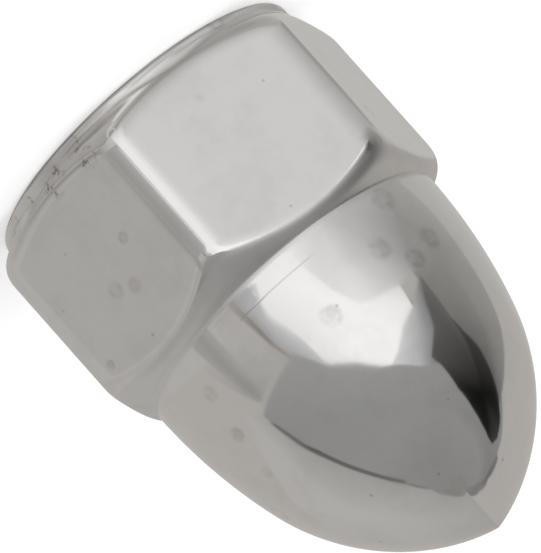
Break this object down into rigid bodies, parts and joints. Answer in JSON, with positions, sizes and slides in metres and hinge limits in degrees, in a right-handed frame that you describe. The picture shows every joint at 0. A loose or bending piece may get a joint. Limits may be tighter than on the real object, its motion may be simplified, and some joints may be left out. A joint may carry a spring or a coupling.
{
  "type": "cap nut",
  "caption": "Tall acorn cap nut: a buffed, chrome-plated hexagon with a thin round collar, a pointed crown and a blind tapped hole.",
  "frame": {"origin": "the centre of the flat bearing face under the collar, on the bolt's axis", "axes": "+Z runs along the bolt's axis from the bearing face up to the crown's point; +Y is square to two of the hexagon's flats, and +X points at a corner between two others"},
  "size_m": [0.0142, 0.0126, 0.0184],
  "materials": {
    "plated_steel": "polished"
  },
  "bodies": {
    "root": {"cap_nut": "plated_steel"}
  },
  "joints": []
}
